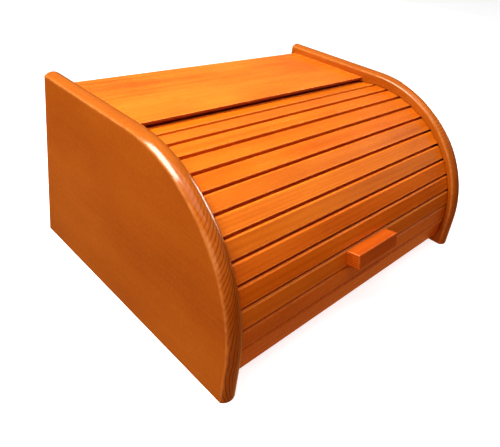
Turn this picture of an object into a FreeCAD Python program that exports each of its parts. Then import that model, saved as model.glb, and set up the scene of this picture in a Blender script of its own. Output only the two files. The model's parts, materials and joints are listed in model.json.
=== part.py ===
import FreeCAD, Part
import math
import os

# Bread box with a roll top. X runs along the box, -Y is the front, +Z is up, all in mm.
# While it is being built, y = 0 is the axis that the roll curtain turns about and z = 0 is
# the table. At the end every piece moves along Y together, so that the origin is under the
# middle of the whole box.

Vector = FreeCAD.Vector
os.makedirs("parts", exist_ok=True)

# Carcass
WIDTH = 400.0                 # over the outer faces of the two side panels
DEPTH = 297.0                 # side panel, front arris to back edge
HEIGHT = 183.0                # side panel, table to top arris
PANEL_THICKNESS = 17.0
CROWN_HEIGHT = 4.0            # rise of the rounded top and front edge above its arrises
TOP_BOARD_DEPTH = 122.0
TOP_BOARD_THICKNESS = 10.0
TOP_BOARD_DROP = 8.0          # top board's face below the panels' top arris
BASE_BOARD_THICKNESS = 12.0
BASE_BOARD_LIFT = 8.0         # table to the base board's underside
BACK_THICKNESS = 9.0
BACK_INSET = 7.0              # back panel's outer face in front of the panels' back edge
HOUSING_DEPTH = 5.0           # depth of the housings that hold the back panel's ends
EDGE_EASING = 1.0             # small round on the boards' exposed long edges

# Roll curtain
SLAT_COUNT = 13               # equal slats above the lead slat
SLAT_THICKNESS = 6.0
SLAT_GAP = 2.5                # open joint between two slats at their outer faces
SLAT_UPPER_CHAMFER = 1.8      # outer edge of a slat that faces up
SLAT_LOWER_ROUND = 0.6        # outer edge that faces down, left nearly square
SLAT_BACK_EASING = 0.5
LEAD_SLAT_WIDTH = 22.8
LEAD_BOTTOM_HEIGHT = 13.0     # table to the lead slat's lower edge, curtain shut
TAIL_LAP = 17.6               # how far the curtain reaches under the top board, shut
FRONT_SETBACK = 6.0           # curtain's outer face behind the panels' front arris
CURTAIN_DROP = 12.0           # curtain's highest point below the panels' top arris
REAR_CLEARANCE = 5.0          # curtain to back panel
GROOVE_DEPTH = 7.0
GROOVE_CLEARANCE = 0.35       # between a slat's faces and the groove's walls
SLAT_END_PLAY = 0.5           # between a slat's end and the groove's floor
STOP_CLEARANCE = 0.8          # past each end of the curtain's travel, along the groove
BOARD_CLEARANCE = 2.5         # hollow under the top board, beyond the groove's outer wall
BASE_CLEARANCE = 2.0          # curtain's lining to base board
TAIL_CLEARANCE = 1.0          # tail slat above the base board, curtain open
CANVAS_THICKNESS = 0.6
CANVAS_MARGIN = 6.0           # canvas edge to side panel
CANVAS_HEM = 2.5              # bare strip along the first and last slats

# Pull handle
HANDLE_SLAT = 2               # the slat that carries it, counted up from the lead slat
HANDLE_LENGTH = 70.0
HANDLE_HEIGHT = 16.0
HANDLE_REACH = 15.0           # how far it stands out from the slat
HANDLE_ROUND = 1.5

# Fasteners
DOWEL_DIAMETER = 6.0
DOWEL_LENGTH = 22.0
BACK_DOWEL_DIAMETER = 5.0
BACK_DOWEL_LENGTH = 18.0
BACK_DOWEL_RISE = 6.0         # length of a back dowel inside the top board
BACK_DOWEL_SPACING = 110.0
DOWEL_HOLE_SPARE = 1.0        # blind hole beyond each end of a dowel
DOWEL_EDGE_MARGIN = 35.0      # outer dowels from the ends of their joint
GLUE_GAP = 0.05               # round a dowel or a screw
SCREW_DIAMETER = 3.5
SCREW_HEAD_DIAMETER = 7.0
SCREW_TIP_LENGTH = 3.0
RECESS_WIDTH = 0.9
RECESS_LENGTH = 4.0
RECESS_DEPTH = 1.3
HANDLE_SCREW_LENGTH = 18.0    # under the head
HANDLE_SCREW_HEAD_HEIGHT = 2.2
HANDLE_SCREW_SPACING = 44.0
BACK_SCREW_LENGTH = 30.0      # over all
BACK_SCREW_COUNT = 4
BACK_SCREW_MARGIN = 40.0      # outer screws from the side panels

# Sizes that follow from the ones above
inner_half = WIDTH / 2 - PANEL_THICKNESS
curtain_radius = (DEPTH - FRONT_SETBACK - REAR_CLEARANCE - BACK_THICKNESS - BACK_INSET) / 2
panel_radius = curtain_radius + CURTAIN_DROP
axis_z = HEIGHT - panel_radius
panel_front = -curtain_radius - FRONT_SETBACK
panel_back = panel_front + DEPTH
arc_centre_y = panel_front + panel_radius
back_outer = panel_back - BACK_INSET
back_inner = back_outer - BACK_THICKNESS
board_top = HEIGHT - TOP_BOARD_DROP
board_under = board_top - TOP_BOARD_THICKNESS
board_front = back_outer - TOP_BOARD_DEPTH
base_top = BASE_BOARD_LIFT + BASE_BOARD_THICKNESS
lining_radius = curtain_radius - SLAT_THICKNESS - CANVAS_THICKNESS
AXIS = Vector(0, 0, axis_z)


def arc_degrees(length):
    """Angle that a length measured along the curtain's outer face covers."""
    return math.degrees(length / curtain_radius)


# Angles about the curtain's axis: 0 points to the front, 90 up, 180 to the back.
lead_bottom = -math.degrees(math.asin((axis_z - LEAD_BOTTOM_HEIGHT) / curtain_radius))
lead_top = lead_bottom + arc_degrees(LEAD_SLAT_WIDTH)
tail_end = 90 + math.degrees(math.asin(board_front / curtain_radius)) + arc_degrees(TAIL_LAP)
slat_pitch = (tail_end - lead_top) / SLAT_COUNT
slat_width = math.radians(slat_pitch) * curtain_radius - SLAT_GAP
tail_rise = (axis_z - base_top - TAIL_CLEARANCE) / curtain_radius
opening_angle = 180 + math.degrees(math.asin(tail_rise)) - tail_end

widest = max(LEAD_SLAT_WIDTH, slat_width)
groove_outer = math.hypot(curtain_radius, widest / 2) + GROOVE_CLEARANCE
groove_inner = curtain_radius - SLAT_THICKNESS - GROOVE_CLEARANCE
groove_start = lead_bottom - arc_degrees(STOP_CLEARANCE)
groove_end = tail_end + opening_angle + arc_degrees(STOP_CLEARANCE)


def on_circle(x, angle, radius):
    """Point at an angle and a radius about the curtain's axis."""
    turn = math.radians(angle)
    return Vector(x, -radius * math.cos(turn), axis_z + radius * math.sin(turn))


def block(x, y, z):
    """Box between pairs of limits."""
    corner = Vector(x[0], y[0], z[0])
    return Part.makeBox(x[1] - x[0], y[1] - y[0], z[1] - z[0], corner)


def rod(diameter, start, end):
    """Solid cylinder between two points."""
    along = end - start
    return Part.makeCylinder(diameter / 2, along.Length, start, along)


def long_edges(solid, y=None, z=None):
    """Edges along X that lie at the given y and at one of the given heights."""
    found = []
    for edge in solid.Edges:
        box = edge.BoundBox
        along_x = box.XLength > box.YLength + box.ZLength
        at_y = y is None or abs(box.Center.y - y) < 1e-6
        at_z = z is None or min(abs(box.Center.z - height) for height in z) < 1e-6
        if along_x and at_y and at_z:
            found.append(edge)
    return found


def mirrored(shape):
    """The same shape on the other side of the box."""
    return shape.mirror(Vector(0, 0, 0), Vector(1, 0, 0))


def spread(count, low, high):
    """Evenly spaced places from low to high."""
    return [low + (high - low) * index / (count - 1) for index in range(count)]


# Dowels

def dowel(diameter, start, end):
    """Wooden dowel with chamfered ends."""
    pin = rod(diameter, start, end)
    rims = [edge for edge in pin.Edges if edge.isClosed()]
    return pin.makeChamfer(diameter / 10, rims)


def dowel_hole(diameter, start, end):
    """Hole for a dowel: a glue gap round it and a little spare depth at both ends."""
    spare = (end - start).normalize() * DOWEL_HOLE_SPARE
    return rod(diameter + 2 * GLUE_GAP, start - spare, end + spare)


def side_dowel_ends(y, z):
    """Ends of a dowel across the joint between a board and the right side panel."""
    return Vector(inner_half - DOWEL_LENGTH / 2, y, z), Vector(inner_half + DOWEL_LENGTH / 2, y, z)


def both_sides(shapes):
    return shapes + [mirrored(shape) for shape in shapes]


board_middle = (board_top + board_under) / 2
base_front = -math.sqrt((lining_radius - BASE_CLEARANCE) ** 2
                        - max(abs(axis_z - BASE_BOARD_LIFT), abs(axis_z - base_top)) ** 2)
base_middle = (BASE_BOARD_LIFT + base_top) / 2
top_dowel_y = spread(2, board_front + DOWEL_EDGE_MARGIN, back_outer - DOWEL_EDGE_MARGIN)
base_dowel_y = spread(3, base_front + DOWEL_EDGE_MARGIN, back_inner - DOWEL_EDGE_MARGIN)
top_dowel_ends = [side_dowel_ends(y, board_middle) for y in top_dowel_y]
base_dowel_ends = [side_dowel_ends(y, base_middle) for y in base_dowel_y]
back_middle = (back_inner + back_outer) / 2
back_dowel_top = board_under + BACK_DOWEL_RISE
back_dowel_ends = [
    (Vector(x, back_middle, back_dowel_top - BACK_DOWEL_LENGTH), Vector(x, back_middle, back_dowel_top))
    for x in (-BACK_DOWEL_SPACING, 0.0, BACK_DOWEL_SPACING)
]

top_dowels = both_sides([dowel(DOWEL_DIAMETER, *ends) for ends in top_dowel_ends])
top_holes = both_sides([dowel_hole(DOWEL_DIAMETER, *ends) for ends in top_dowel_ends])
base_dowels = both_sides([dowel(DOWEL_DIAMETER, *ends) for ends in base_dowel_ends])
base_holes = both_sides([dowel_hole(DOWEL_DIAMETER, *ends) for ends in base_dowel_ends])
back_dowels = [dowel(BACK_DOWEL_DIAMETER, *ends) for ends in back_dowel_ends]
back_holes = [dowel_hole(BACK_DOWEL_DIAMETER, *ends) for ends in back_dowel_ends]


# Screws, made standing on their tips with the head's flat face up at z = 0

def cross_recess():
    """Cross-shaped driver recess below z = 0."""
    half = RECESS_LENGTH / 2
    arm = (-RECESS_WIDTH / 2, RECESS_WIDTH / 2)
    depth = (-RECESS_DEPTH, 1.0)
    return block((-half, half), arm, depth).fuse(block(arm, (-half, half), depth))


def turned(outline):
    """Solid turned about Z from (radius, z) points, starting and ending on the axis."""
    points = [Vector(radius, 0, z) for radius, z in outline]
    face = Part.Face(Part.makePolygon(points + points[:1]))
    return face.revolve(Vector(0, 0, 0), Vector(0, 0, 1), 360)


def countersunk_screw(gap=0.0):
    """Countersunk wood screw; with a gap it is the hole for one."""
    shank = SCREW_DIAMETER / 2 + gap
    head = SCREW_HEAD_DIAMETER / 2 + gap
    neck_z = -(head - shank)
    tip_z = -BACK_SCREW_LENGTH - gap
    body = turned([(0, 0), (head, 0), (shank, neck_z), (shank, tip_z + SCREW_TIP_LENGTH), (0, tip_z)])
    return body if gap else body.cut(cross_recess())


def pan_head_screw(gap=0.0):
    """Pan-head wood screw, its head standing on z = 0; with a gap it is the hole for one."""
    shank = SCREW_DIAMETER / 2 + gap
    tip_z = -HANDLE_SCREW_LENGTH - gap
    body = turned([(0, 0), (shank, 0), (shank, tip_z + SCREW_TIP_LENGTH), (0, tip_z)])
    if gap:
        return body
    head = Part.makeCylinder(SCREW_HEAD_DIAMETER / 2, HANDLE_SCREW_HEAD_HEIGHT)
    rim = [edge for edge in head.Edges if edge.isClosed() and edge.BoundBox.ZMin > 0]
    head = head.makeFillet(HANDLE_SCREW_HEAD_HEIGHT / 2, rim)
    recess = cross_recess()
    recess.translate(Vector(0, 0, HANDLE_SCREW_HEAD_HEIGHT))
    return body.fuse(head).removeSplitter().cut(recess)


def in_back(shape, x):
    """Places a screw, or its hole, in the back panel at base board height."""
    placed = shape.copy()
    placed.rotate(Vector(0, 0, 0), Vector(1, 0, 0), -90)
    placed.translate(Vector(x, back_outer, base_middle))
    return placed


back_screw_x = spread(BACK_SCREW_COUNT, BACK_SCREW_MARGIN - inner_half, inner_half - BACK_SCREW_MARGIN)
back_screws = [in_back(countersunk_screw(), x) for x in back_screw_x]
back_screw_holes = [in_back(countersunk_screw(GLUE_GAP), x) for x in back_screw_x]


# Side panels

def panel_blank():
    """Right side panel before grooving: a flat plate with a crowned top and front edge."""
    left = inner_half
    centre = Vector(left, arc_centre_y, axis_z)
    corner = Vector(left, panel_front, axis_z)
    crest = Vector(left, arc_centre_y, HEIGHT)
    slant = panel_radius * math.sqrt(0.5)
    halfway = centre + Vector(0, -slant, slant)
    foot = Vector(left, panel_front, 0)
    heel = Vector(left, panel_back, 0)
    top_back = Vector(left, panel_back, HEIGHT)
    outline = Part.Wire([
        Part.makeLine(foot, corner),
        Part.Arc(corner, halfway, crest).toShape(),
        Part.makeLine(crest, top_back),
        Part.makeLine(top_back, heel),
        Part.makeLine(heel, foot),
    ])
    plate = Part.Face(outline).extrude(Vector(PANEL_THICKNESS, 0, 0))
    return plate.fuse(panel_crown(crest, centre)).removeSplitter()


def panel_crown(crest, centre):
    """Rounded cap along the plate's top, its curve and its front, down to the table."""
    over = crest + Vector(PANEL_THICKNESS, 0, 0)
    peak = crest + Vector(PANEL_THICKNESS / 2, 0, CROWN_HEIGHT)
    bow = Part.Wire([Part.Arc(crest, peak, over).toShape(), Part.makeLine(over, crest)])
    section = Part.Face(bow)
    along_top = section.extrude(Vector(0, panel_back - arc_centre_y, 0))
    round_front = section.revolve(centre, Vector(1, 0, 0), 90)
    lowered = section.copy()
    lowered.rotate(centre, Vector(1, 0, 0), 90)
    down_front = lowered.extrude(Vector(0, 0, -axis_z))
    return along_top.fuse([round_front, down_front])


def curtain_groove():
    """Curved groove for the ends of the slats, in the right side panel's inner face."""
    x = inner_half
    middle = (groove_start + groove_end) / 2
    outer = Part.Arc(*[on_circle(x, a, groove_outer) for a in (groove_start, middle, groove_end)])
    inner = Part.Arc(*[on_circle(x, a, groove_inner) for a in (groove_start, middle, groove_end)])
    starts = Part.makeLine(on_circle(x, groove_start, groove_outer), on_circle(x, groove_start, groove_inner))
    ends = Part.makeLine(on_circle(x, groove_end, groove_outer), on_circle(x, groove_end, groove_inner))
    rim = Part.Wire(Part.__sortEdges__([outer.toShape(), inner.toShape(), starts, ends]))
    return Part.Face(rim).extrude(Vector(GROOVE_DEPTH, 0, 0))


def side_panel():
    """Right side panel with its groove, back housing and dowel holes."""
    housing = block((inner_half, inner_half + HOUSING_DEPTH), (back_inner, back_outer),
                    (BASE_BOARD_LIFT, board_under))
    return panel_blank().cut([curtain_groove(), housing] + top_holes + base_holes)


# Boards

def top_board():
    """Top board, hollowed under its front edge where the curtain passes."""
    board = block((-inner_half, inner_half), (board_front, back_outer), (board_under, board_top))
    board = board.makeFillet(EDGE_EASING, long_edges(board, board_front, [board_top]))
    hollow_radius = groove_outer + BOARD_CLEARANCE
    hollow = Part.makeCylinder(hollow_radius, WIDTH, AXIS - Vector(WIDTH / 2, 0, 0), Vector(1, 0, 0))
    return board.cut([hollow] + top_holes + back_holes)


def base_board():
    """Floor of the bread space."""
    board = block((-inner_half, inner_half), (base_front, back_inner), (BASE_BOARD_LIFT, base_top))
    board = board.makeFillet(EDGE_EASING, long_edges(board, base_front, [base_top]))
    return board.cut(base_holes + back_screw_holes)


def back_panel():
    """Back, its ends let into the side panels."""
    reach = inner_half + HOUSING_DEPTH
    board = block((-reach, reach), (back_inner, back_outer), (BASE_BOARD_LIFT, board_under))
    return board.cut(back_holes + back_screw_holes)


# Roll curtain: each piece is made at the front of the circle, then turned to its place

def at_angle(shape, angle):
    """Moves a piece made around the origin, facing -Y, to an angle on the curtain."""
    placed = shape.copy()
    placed.translate(Vector(0, -curtain_radius, axis_z))
    placed.rotate(AXIS, Vector(-1, 0, 0), angle)
    return placed


def slat(width):
    """Flat slat, its upper outer edge chamfered, the lower one rounded, the inner ones eased."""
    half_length = inner_half + GROOVE_DEPTH - SLAT_END_PLAY
    half = width / 2
    strip = block((-half_length, half_length), (0, SLAT_THICKNESS), (-half, half))
    strip = strip.makeChamfer(SLAT_UPPER_CHAMFER, long_edges(strip, 0, [half]))
    strip = strip.makeFillet(SLAT_LOWER_ROUND, long_edges(strip, 0, [-half]))
    return strip.makeChamfer(SLAT_BACK_EASING, long_edges(strip, SLAT_THICKNESS, [-half, half]))


def slat_angle(number):
    """Middle of a slat; number 0 is the lead slat."""
    if number == 0:
        return (lead_bottom + lead_top) / 2
    return lead_top + slat_pitch * number - arc_degrees(slat_width / 2)


def slat_back_line(number, depth):
    """Lower and upper corners of a slat's inner face, at a depth behind its outer face."""
    half = (slat_width if number else LEAD_SLAT_WIDTH) / 2
    low = -half + (CANVAS_HEM if number == 0 else 0)
    high = half - (CANVAS_HEM if number == SLAT_COUNT else 0)
    corners = [Vector(0, depth, low), Vector(0, depth, high)]
    return [at_angle(Part.Vertex(corner), slat_angle(number)).Point for corner in corners]


def canvas():
    """Canvas glued across the inner faces of all the slats, short of the side panels."""
    facing = []
    backing = []
    for number in range(SLAT_COUNT + 1):
        facing += slat_back_line(number, SLAT_THICKNESS)
        backing += slat_back_line(number, SLAT_THICKNESS + CANVAS_THICKNESS)
    loop = facing + backing[::-1]
    half_width = inner_half - CANVAS_MARGIN
    sheet = Part.Face(Part.makePolygon(loop + loop[:1])).extrude(Vector(2 * half_width, 0, 0))
    sheet.translate(Vector(-half_width, 0, 0))
    return sheet


def handle():
    """Rectangular pull with rounded outer edges, its back flat on the slat."""
    half_length = HANDLE_LENGTH / 2
    half = HANDLE_HEIGHT / 2
    pull = block((-half_length, half_length), (-HANDLE_REACH, 0), (-half, half))
    exposed = [edge for edge in pull.Edges if edge.BoundBox.YMin < -1e-6]
    return pull.makeFillet(HANDLE_ROUND, exposed)


def handle_screw(shape, x):
    """Places a screw, or its hole, from the canvas through the slat into the handle."""
    placed = shape.copy()
    placed.rotate(Vector(0, 0, 0), Vector(1, 0, 0), -90)
    placed.translate(Vector(x, SLAT_THICKNESS + CANVAS_THICKNESS, 0))
    return at_angle(placed, slat_angle(HANDLE_SLAT))


screw_x = (-HANDLE_SCREW_SPACING / 2, HANDLE_SCREW_SPACING / 2)
handle_screws = [handle_screw(pan_head_screw(), x) for x in screw_x]
handle_holes = [handle_screw(pan_head_screw(GLUE_GAP), x) for x in screw_x]

right_panel = side_panel()
pieces = {
    "right_side_panel": right_panel,
    "left_side_panel": mirrored(right_panel),
    "top_board": top_board(),
    "base_board": base_board(),
    "back_panel": back_panel(),
    "top_board_dowels": Part.makeCompound(top_dowels),
    "base_board_dowels": Part.makeCompound(base_dowels),
    "back_panel_dowels": Part.makeCompound(back_dowels),
    "back_panel_screws": Part.makeCompound(back_screws),
    "lead_slat": at_angle(slat(LEAD_SLAT_WIDTH), slat_angle(0)),
    "pull_handle": at_angle(handle(), slat_angle(HANDLE_SLAT)).cut(handle_holes),
    "handle_screws": Part.makeCompound(handle_screws),
    "canvas_backing": canvas().cut(handle_holes),
}
for number in range(1, SLAT_COUNT + 1):
    piece = at_angle(slat(slat_width), slat_angle(number))
    if number == HANDLE_SLAT:
        piece = piece.cut(handle_holes)
    pieces[f"slat_{number:02d}"] = piece

whole = Part.makeCompound(list(pieces.values())).optimalBoundingBox(False, False)
shift = round(-(whole.YMin + whole.YMax) / 2, 1)
for name, shape in pieces.items():
    shape.translate(Vector(0, shift, 0))
    shape.exportStep(f"parts/{name}.step")

print("size", round(whole.XLength, 2), round(whole.YLength, 2), round(whole.ZLength, 2))
print("curtain axis y", shift, "z", round(axis_z, 3), "radius", round(curtain_radius, 3))
print("curtain opens by", round(opening_angle, 2), "degrees; slats", round(slat_width, 2), "wide")
for name, shape in pieces.items():
    print(f"{name:20s} solids {len(shape.Solids)} valid {shape.isValid()} volume {shape.Volume:.0f}")
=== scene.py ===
# %% [markdown]
# # A bread box with a roll top
#
# The box is all wood: two side panels with a rounded top and front edge, a few boards between
# them, and a curtain of thin slats that slides in curved grooves. The design is already fixed.
# This script only gives it its looks: clean shapes with softened edges, stained and lacquered
# wood, a canvas lining, steel screws, and a studio to see them in.
#
# The first step loads the design as a fixed frame. Every piece that follows takes its place and
# its size from that frame, so nothing has to be fitted by eye.

# %% Load the frame
import bpy
import bmesh
import json
import math
import random
from bmesh.types import BMEdge, BMVert
from mathutils import Euler, Matrix, Vector


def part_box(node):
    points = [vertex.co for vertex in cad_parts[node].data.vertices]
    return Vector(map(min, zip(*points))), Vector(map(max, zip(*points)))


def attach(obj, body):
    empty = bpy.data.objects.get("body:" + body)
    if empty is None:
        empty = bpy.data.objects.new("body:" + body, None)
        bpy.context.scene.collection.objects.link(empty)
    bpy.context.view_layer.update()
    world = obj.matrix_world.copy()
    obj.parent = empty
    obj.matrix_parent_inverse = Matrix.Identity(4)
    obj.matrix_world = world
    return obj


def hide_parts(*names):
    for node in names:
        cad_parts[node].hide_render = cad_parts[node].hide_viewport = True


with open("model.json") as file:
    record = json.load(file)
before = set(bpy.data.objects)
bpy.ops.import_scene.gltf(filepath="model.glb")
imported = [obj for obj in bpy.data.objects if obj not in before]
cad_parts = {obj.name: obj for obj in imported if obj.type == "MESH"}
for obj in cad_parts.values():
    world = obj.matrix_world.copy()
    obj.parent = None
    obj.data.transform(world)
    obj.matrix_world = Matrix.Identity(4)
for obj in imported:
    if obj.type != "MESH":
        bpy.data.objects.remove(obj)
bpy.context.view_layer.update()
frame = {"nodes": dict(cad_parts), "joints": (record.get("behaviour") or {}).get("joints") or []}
nodes = frame["nodes"]

# %% [markdown]
# Most sizes can be read from the boxes around the pieces. This cell names the few that a box
# can't give: how high the crown of a side panel rises above its corners, and how much play a
# slat's end has in its groove. `TINY` is the distance at which two points count as one.

# %% Main measures
MM = 0.001
TINY = 0.01 * MM
QUARTER = math.pi / 2
CROWN_RISE = 4 * MM
SLAT_END_PLAY = 0.5 * MM

panel_low, panel_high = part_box("right_side_panel")
board_low, board_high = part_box("top_board")
base_low, base_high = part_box("base_board")
back_low, back_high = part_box("back_panel")
curtain_axis = Vector(frame["joints"][0]["pos_m"])

inner_face = panel_low.x
outer_face = panel_high.x
panel_front = panel_low.y + CROWN_RISE
panel_back = panel_high.y
panel_top = panel_high.z - CROWN_RISE
panel_radius = panel_top - curtain_axis.z
arc_centre = Vector((0, panel_front + panel_radius, curtain_axis.z))
print("the panels' big curve has a radius of", round(panel_radius / MM, 2), "mm")

# %% [markdown]
# ## Reading more from the frame
#
# A slat lies at an angle, so its box says little. Its corners say more: seen from the axis that
# the curtain turns about, they give the slat's angle, its outer face and its thickness. The same
# trick on the floor of the groove gives the groove's two radii and its two ends. An angle of 0
# points to the front of the box and a quarter turn points up.


# %% Angles and radii about the curtain's axis
def points_of(node):
    return [vertex.co for vertex in nodes[node].data.vertices]


def angle_of(point):
    """Angle of a point, counted from the front over the top, from -90 up to 270 degrees."""
    turn = math.atan2(point.z - curtain_axis.z, curtain_axis.y - point.y)
    return turn if turn > -QUARTER else turn + math.tau


def radius_of(point):
    return math.hypot(point.z - curtain_axis.z, point.y - curtain_axis.y)


def outward(angle):
    return Vector((0, -math.cos(angle), math.sin(angle)))


def measure_slat(node):
    """A slat's angle, the radius of its outer face, and its thickness, width and half length."""
    points = points_of(node)
    angles = [angle_of(point) for point in points]
    middle = (min(angles) + max(angles)) / 2
    across = Vector((0, math.sin(middle), math.cos(middle)))
    depths = [(point - curtain_axis).dot(outward(middle)) for point in points]
    spans = [(point - curtain_axis).dot(across) for point in points]
    return {
        "angle": middle,
        "radius": max(depths),
        "thickness": max(depths) - min(depths),
        "width": max(spans) - min(spans),
        "half_length": max(point.x for point in points),
    }


slat_names = ["lead_slat"] + sorted(name for name in nodes if name.startswith("slat_"))
slats = {name: measure_slat(name) for name in slat_names}
groove_floor = slats["slat_01"]["half_length"] + SLAT_END_PLAY
floor_points = [p for p in points_of("right_side_panel") if abs(p.x - groove_floor) < TINY]
groove_radii = sorted({round(radius_of(point), 5) for point in floor_points})
groove_angles = sorted(angle_of(point) for point in floor_points)
for name in ("lead_slat", slat_names[-1]):
    print(name, "at", round(math.degrees(slats[name]["angle"]), 2), "degrees")
print("groove from radius", groove_radii[0], "to", groove_radii[-1], "m")

# %% [markdown]
# Dowels and screws come in groups, one node for each group. To find the single pins, the loose
# triangles of a copy are joined at their corners, and then every connected patch is one pin. The
# box around each patch tells where that pin is.


# %% Find the single pins in a group
def solids_in(node):
    """Lowest and highest corner of each separate solid in a node, ordered along X, Y and Z."""
    copy = bmesh.new()
    copy.from_mesh(nodes[node].data)
    bmesh.ops.remove_doubles(copy, verts=copy.verts, dist=TINY)
    left = set(copy.verts)
    found = []
    while left:
        patch = {left.pop()}
        edge_of_patch = list(patch)
        while edge_of_patch:
            vertex = edge_of_patch.pop()
            near = {edge.other_vert(vertex) for edge in vertex.link_edges} & left
            left -= near
            patch |= near
            edge_of_patch += near
        spans = [[vertex.co[axis] for vertex in patch] for axis in range(3)]
        found.append((Vector([min(span) for span in spans]), Vector([max(span) for span in spans])))
    copy.free()
    return sorted(found, key=lambda corners: tuple(round(value, 4) for value in corners[0]))


def middle_of(corners):
    return (corners[0] + corners[1]) / 2


def pin_radius(corners, axis):
    """Radius of a pin that lies along an axis (0, 1 or 2), from the corners of its box."""
    across = (axis + 1) % 3
    return (corners[1][across] - corners[0][across]) / 2


board_dowels = solids_in("top_board_dowels")
base_dowels = solids_in("base_board_dowels")
back_dowels = solids_in("back_panel_dowels")
back_screws = solids_in("back_panel_screws")
handle_screws = solids_in("handle_screws")
print("dowels", len(board_dowels + base_dowels + back_dowels))
print("screws", len(back_screws + handle_screws))

# %% [markdown]
# ## Shader sums that read like sums
#
# A wood finish needs a good deal of arithmetic: distances, masks, soft steps. Placing Math nodes
# one by one hides what is being worked out. `Signal` wraps one output socket, and its operators
# add the Math node that they stand for, so `1 - mask * 0.5` builds two nodes and links them. Its
# one method `node` adds any other kind: settings first, then the values or links of its sockets.


# %% A socket that can be added and multiplied
class Signal:
    """An output socket of a material's node tree, with arithmetic."""

    def __init__(self, tree, socket=None):
        self.tree = tree
        self.socket = socket

    def node(self, kind, sockets, output=0, stops=None, **settings):
        """Adds a node and returns one of its outputs. Sockets go by name or by number."""
        made = self.tree.nodes.new(kind)
        for name, value in settings.items():
            setattr(made, name, value)
        if stops:
            ramp = made.color_ramp
            while len(ramp.elements) < len(stops):
                ramp.elements.new(0.5)
            for element, (place, colour) in zip(ramp.elements, stops):
                element.position = place
                element.color = (*colour, 1)
        for key, value in sockets.items():
            if isinstance(value, Signal):
                self.tree.links.new(value.socket, made.inputs[key])
            else:
                made.inputs[key].default_value = value
        return Signal(self.tree, made.outputs[output] if made.outputs else None)

    def sum(self, operation, *values):
        return self.node("ShaderNodeMath", dict(enumerate(values)), operation=operation)

    def __add__(self, other):
        return self.sum("ADD", self, other)

    __radd__ = __add__

    def __sub__(self, other):
        return self.sum("SUBTRACT", self, other)

    def __rsub__(self, other):
        return self.sum("SUBTRACT", other, self)

    def __mul__(self, other):
        return self.sum("MULTIPLY", self, other)

    __rmul__ = __mul__

    def __truediv__(self, other):
        return self.sum("DIVIDE", self, other)

    def __pow__(self, other):
        return self.sum("POWER", self, other)

    def __abs__(self):
        return self.sum("ABSOLUTE", self)

    def step(self, low, high, before=0.0, after=1.0):
        """Goes smoothly from before to after while the value goes from low to high."""
        sockets = {0: self, 1: low, 2: high, 3: before, 4: after}
        return self.node("ShaderNodeMapRange", sockets, interpolation_type="SMOOTHSTEP")

    def parts(self):
        """The X, Y and Z of a vector."""
        return [self.node("ShaderNodeSeparateXYZ", {0: self}, output=axis) for axis in range(3)]

    def vector(self, operation, *values, output=0):
        sockets = dict(enumerate(values))
        return self.node("ShaderNodeVectorMath", sockets, output, operation=operation)

    def noise(self, place, scale, detail=2.0):
        sockets = {"Vector": place, "Scale": scale, "Detail": detail, "Roughness": 0.5}
        return self.node("ShaderNodeTexNoise", sockets)

    def colours(self, factor, first, second):
        """Mixes two colours; each may be a signal or three numbers."""
        sockets = {0: factor}
        for key, colour in ((6, first), (7, second)):
            sockets[key] = colour if isinstance(colour, Signal) else (*colour, 1)
        return self.node("ShaderNodeMix", sockets, 2, data_type="RGBA", blend_type="MIX")


def new_material(name):
    """An empty material, and a bare signal to start its sums from."""
    material = bpy.data.materials.new(name)
    material.use_nodes = True
    material.node_tree.nodes.clear()
    return material, Signal(material.node_tree)


def close_material(start, bump, **sockets):
    """Adds the surface shader; what varies comes in as signals, the rest as plain numbers."""
    height, distance, strength = bump
    relief = {"Strength": strength, "Distance": distance, "Height": height}
    normal = start.node("ShaderNodeBump", relief)
    names = {key.replace("_", " "): value for key, value in sockets.items()}
    surface = start.node("ShaderNodeBsdfPrincipled", {**names, "Normal": normal})
    start.node("ShaderNodeOutputMaterial", {"Surface": surface}, output=None)


print("Signal is ready")

# %% [markdown]
# ## Where a pattern sits on a piece
#
# Wood grain must run along each board, and it must go through the board as it does in a tree, so
# that the end of a board shows the ends of the same rings. A pattern in Object coordinates does
# both. A Mapping node of the TEXTURE kind carries the coordinates to the middle of the piece and
# turns them, so that X always runs along the grain.


# %% Coordinates of one piece
def on_piece(start, centre, turn=(0, 0, 0)):
    """Object coordinates seen from a piece's middle, in metres, with X along the grain."""
    place = start.node("ShaderNodeTexCoord", {}, output="Object")
    sockets = {"Vector": place, "Location": centre, "Rotation": turn}
    return start.node("ShaderNodeMapping", sockets, vector_type="TEXTURE")


def box_edges(place, half_sizes):
    """Distance from a box's surface to its nearest edge: the middle one of three distances."""
    a, b, c = [half - abs(part) for half, part in zip(half_sizes, place.parts())]
    smaller = place.sum("MINIMUM", a, b)
    larger = place.sum("MAXIMUM", a, b)
    return place.sum("MAXIMUM", smaller, place.sum("MINIMUM", larger, c))
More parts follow.
